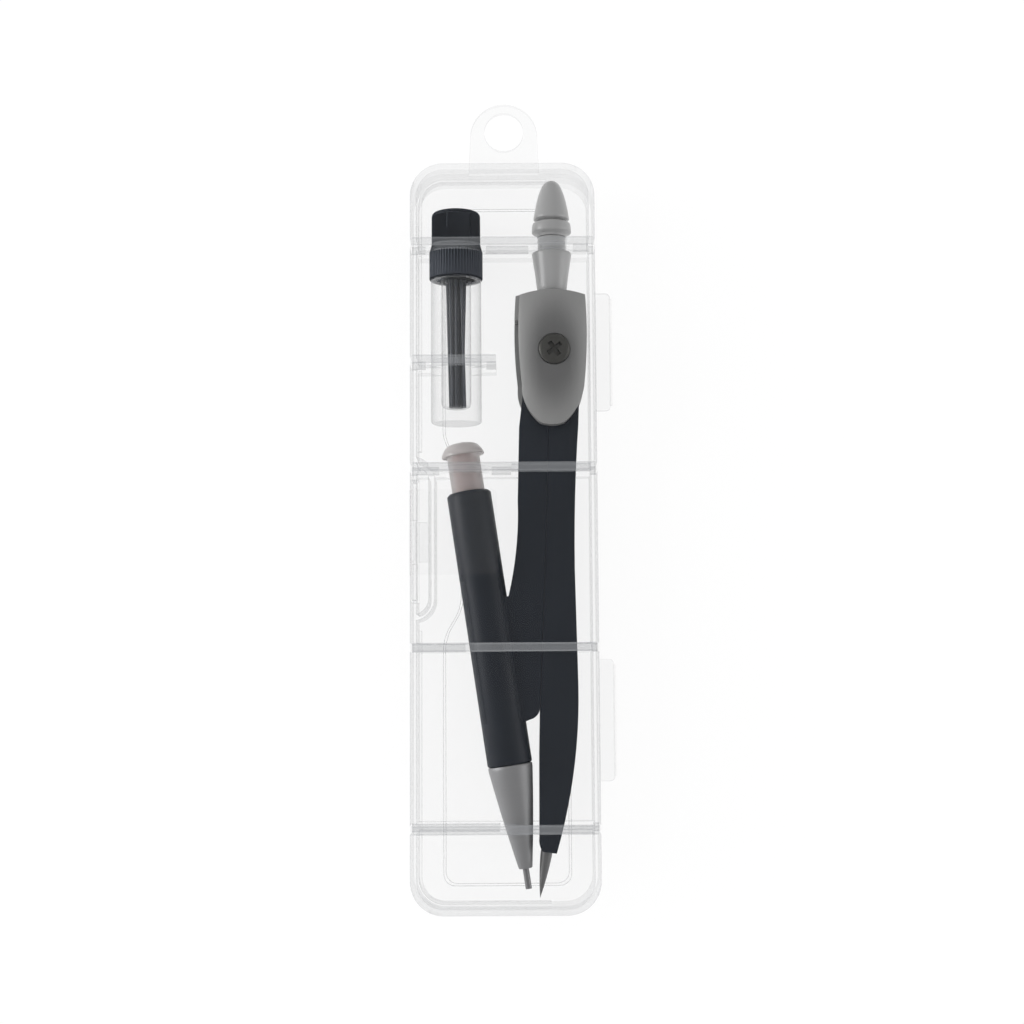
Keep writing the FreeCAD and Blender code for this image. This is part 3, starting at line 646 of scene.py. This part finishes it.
pencilLook = {
    "tip": (5.0, -78.2),
    "cone": ((4.3, 0.71), (4.3, 1.4), (4.45, 1.55), (6.6, 1.94), (9.5, 2.43), (12.5, 2.94), (15.5, 3.42),
             (18.5, 3.87), (21.5, 4.3), (24.0, 4.64), (26.2, 4.93), (26.9, 4.94), (27.1, 4.85), (27.12, 3.35),
             (33.0, 3.3), (33.0, 2.1), (10.0, 2.1), (9.0, 1.0), (9.0, 0.71), (5.0, 0.71)),
    "button": ((84.0, 1.95), (84.0, 3.1), (84.2, 3.2), (88.0, 3.2), (88.1, 3.6), (88.3, 3.7), (97.3, 3.7),
               (97.45, 3.78), (97.4, 3.95), (97.1, 4.5), (97.02, 4.68), (97.1, 4.8), (97.3, 4.84), (97.8, 4.7),
               (98.4, 4.4), (98.9, 4.05), (99.4, 3.6), (99.7, 3.1), (99.9, 2.5), (100.05, 1.7), (100.15, 0.9),
               (100.2, 0.3)),
    "springTurns": 9, "springLow": 15.6, "springHigh": 24.6, "springRadius": 1.65, "springWire": 0.22,
}


def makePencil():
    look = pencilLook
    tip = Vector((look["tip"][0] * mm, look["tip"][1] * mm, handleMid.z))
    cone = turnedPiece(tip, penDir, look["cone"], 80)
    finishPiece(cone, "pencilCone", "pencil_cone", smooth=40)
    button = turnedPiece(tip, penDir, look["button"], 72)
    finishPiece(button, "pushButton", "push_button", smooth=60)
    barrel = copyOf("pencil_barrel")
    applyBevel(barrel, 0.12, 2, 40)
    finishPiece(barrel, "pencilBarrel", "pencil_barrel", smooth=35)
    makeSpring(tip)


# the wire's section is swept round the chuck by a screw modifier
def makeSpring(tip):
    look = pencilLook
    bpy.ops.object.select_all(action="DESELECT")
    bpy.ops.mesh.primitive_circle_add(vertices=8, radius=look["springWire"] * mm, fill_type="NGON",
                                      location=(look["springRadius"] * mm, 0, 0),
                                      rotation=(math.pi / 2, 0, 0))
    spring = bpy.context.object
    bpy.ops.object.transform_apply(location=True, rotation=True, scale=True)
    sweep = spring.modifiers.new("Sweep", "SCREW")
    turns = look["springTurns"]
    sweep.axis = "Z"
    sweep.screw_offset = (look["springHigh"] - look["springLow"]) / turns * mm
    sweep.iterations = turns
    sweep.steps = 20
    sweep.render_steps = 20
    bpy.ops.object.modifier_apply(modifier=sweep.name)
    bpy.ops.object.mode_set(mode="EDIT")
    bpy.ops.mesh.select_all(action="SELECT")
    bpy.ops.mesh.remove_doubles(threshold=0.001 * mm)
    bpy.ops.mesh.normals_make_consistent(inside=False)
    bpy.ops.object.mode_set(mode="OBJECT")
    spring.rotation_mode = "QUATERNION"
    spring.rotation_quaternion = Vector((0, 0, 1)).rotation_difference(penDir)
    spring.location = tip + penDir * look["springLow"] * mm
    finishPiece(spring, "clutchSpring", "pencil_spring", smooth=60)
    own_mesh(spring)


needleLook = {"root": (9.0, -70.4), "tip": (7.5, -80.4), "shank": 8.0,
              "steps": ((0.02, 0.02), (0.6, 0.13), (1.5, 0.31), (2.6, 0.5), (4.0, 0.72), (5.5, 0.92),
                        (7.0, 1.1), (8.4, 1.22), (9.5, 1.3))}


def makeNeedle():
    look = needleLook
    root = Vector((look["root"][0] * mm, look["root"][1] * mm, handleMid.z))
    tip = Vector((look["tip"][0] * mm, look["tip"][1] * mm, handleMid.z))
    along = (root - tip).normalized()
    end = (root - tip).length / mm + look["shank"]
    needle = turnedPiece(tip, along, look["steps"] + ((end, 1.3),), 40)
    finishPiece(needle, "compassNeedle", "needle", smooth=60)


tubeLook = {
    "body": ((0, 4.9), (0, 5.25), (0.15, 5.55), (0.5, 5.75), (33.0, 5.75), (33.0, 4.3), (38.4, 4.3),
             (38.6, 4.1), (38.6, 3.5), (38.5, 3.4), (4.6, 3.4), (3.8, 3.1), (3.5, 2.4), (3.5, 0.4)),
    "cap": ((0.0, 4.45), (0.0, 5.8), (0.2, 5.95), (6.3, 5.95), (6.5, 5.9), (8.0, 5.5), (14.6, 5.5),
            (15.0, 5.4), (15.3, 5.15), (15.45, 4.8), (15.5, 4.4), (15.5, 0.5)),
    "capKnurls": 56, "knurlHigh": 0.14,
    "leadRadius": 0.35, "leadLength": 41.0, "leadPitch": 0.86, "leadSpread": 0.019,
}


def makeLeadTube():
    look = tubeLook
    axis = Vector((tubeMid.x, tubeLow.y, tubeMid.z))
    along = Vector((0, 1, 0))
    tube = turnedPiece(axis, along, look["body"], 96)
    finishPiece(tube, "leadTube", "lead_tube_body", smooth=40)
    makeCap()
    makeSpareLeads()


def makeCap():
    look = tubeLook
    axis = Vector((capMid.x, capLow.y, capMid.z))
    cap = turnedPiece(axis, Vector((0, 1, 0)), look["cap"], look["capKnurls"] * 2)
    # the gripping ribs: every other strip of the flared part is raised
    middle = capLow.y + 3.3 * mm
    step = math.pi / look["capKnurls"]
    for face in cap.data.polygons:
        face.select = False
        centre = cap.matrix_world @ face.center
        if abs(centre.y - middle) < 0.5 * mm and len(face.vertices) == 4:
            around = math.atan2(centre.z - capMid.z, centre.x - capMid.x)
            face.select = round((around / step) - 0.5) % 2 == 0
    selectOnly(cap)
    bpy.context.tool_settings.mesh_select_mode = (False, False, True)
    bpy.ops.object.mode_set(mode="EDIT")
    bpy.ops.mesh.extrude_region_shrink_fatten(TRANSFORM_OT_shrink_fatten={"value": look["knurlHigh"] * mm})
    bpy.ops.object.mode_set(mode="OBJECT")
    bpy.context.tool_settings.mesh_select_mode = (True, False, False)
    finishPiece(cap, "leadTubeCap", "lead_tube_cap", smooth=30)


def makeSpareLeads():
    look = tubeLook
    base = Vector((tubeMid.x, tubeLow.y + 3.52 * mm, tubeMid.z))
    bundle = []
    for row in (-1, 0, 1):
        count = 4 - abs(row)
        for index in range(count):
            across = (index - (count - 1) / 2) * look["leadPitch"]
            lift = row * look["leadPitch"] * 0.87
            lean = Vector((across * look["leadSpread"], 1, 0)).normalized()
            foot = base + Vector((across, 0, lift)) * mm
            if row == 1 and index == count - 1:       # one lead stands out to the side at its foot
                lean = Vector((-0.024, 1, 0.0)).normalized()
                foot = base + Vector((1.95, 0, lift)) * mm
            r, end = look["leadRadius"], look["leadLength"] - 0.6 * ((index * 7 + row * 3) % 4)
            lead = turnedPiece(foot, lean, ((0, r - 0.05), (0.05, r), (end - 0.05, r), (end, r - 0.05)), 12)
            bundle.append(lead)
    selectOnly(bundle[0])
    for lead in bundle[1:]:
        lead.select_set(True)
    bpy.ops.object.join()
    finishPiece(bpy.context.object, "spareLeads", "spare_leads", smooth=50)


floorLook = {
    "right": 14.85, "left": -14.1, "waist": -10.0, "high": 77.0, "low": -78.6,
    "waistHigh": 17.0, "waistLow": -16.0, "sideHigh": 22.0, "sideLow": -23.0,
    "cornerRadius": 2.6, "beadRadius": 0.09, "insets": (0.1, 0.62), "level": 1.66,
}


# a ring of points is moved to the corners, its corners are rounded, and a thin bead is laid along it
def makeFloorBead(inset):
    look = floorLook
    left, waist, right = look["left"] + inset, look["waist"] + inset, look["right"] - inset
    high, low = look["high"] - inset, look["low"] + inset
    corners = ((right, high), (left, high), (left, look["sideHigh"]), (waist, look["waistHigh"]),
               (waist, look["waistLow"]), (left, look["sideLow"]), (left, low), (right, low))
    bpy.ops.object.select_all(action="DESELECT")
    bpy.ops.mesh.primitive_circle_add(vertices=len(corners), radius=0.02, fill_type="NOTHING")
    bead = bpy.context.object
    for point, corner in zip(bead.data.vertices, corners):
        point.co = (corner[0] * mm, corner[1] * mm, look["level"] * mm)
    bpy.ops.object.mode_set(mode="EDIT")
    bpy.ops.mesh.select_all(action="SELECT")
    bpy.ops.mesh.bevel(offset=look["cornerRadius"] * mm, segments=6, affect="VERTICES")
    bpy.ops.object.mode_set(mode="OBJECT")
    bpy.ops.object.convert(target="CURVE")
    bead = bpy.context.object
    bead.data.bevel_depth = look["beadRadius"] * mm
    bead.data.bevel_resolution = 1
    bpy.ops.object.convert(target="MESH")
    return bpy.context.object


def makeFloorOutline():
    beads = [makeFloorBead(inset) for inset in floorLook["insets"]]
    selectOnly(beads[0])
    for bead in beads[1:]:
        bead.select_set(True)
    bpy.ops.object.join()
    outline = bpy.context.object
    outline.name = "floorOutline"
    outline.data.name = "floorOutline"
    bpy.ops.object.shade_smooth_by_angle(angle=math.radians(40))
    outline.data.materials.clear()
    outline.data.materials.append(materials["bead"])
    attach(outline, bodyOf["case_base"])


def makeCase():
    for node, name in (("case_base", "caseBase"), ("case_cover", "caseCover"), ("latch_tongue", "latchTongue")):
        half = copyOf(node)
        finishPiece(half, name, node, smooth=30)


makeHandle()
makeHead()
makeScrew()
print("compass head modelled")
makeLegs()
makeNeedle()
makePencil()
print("legs and pencil modelled")
makeLeadTube()
print("lead tube modelled")
makeCase()
makeFloorOutline()
print("case modelled")
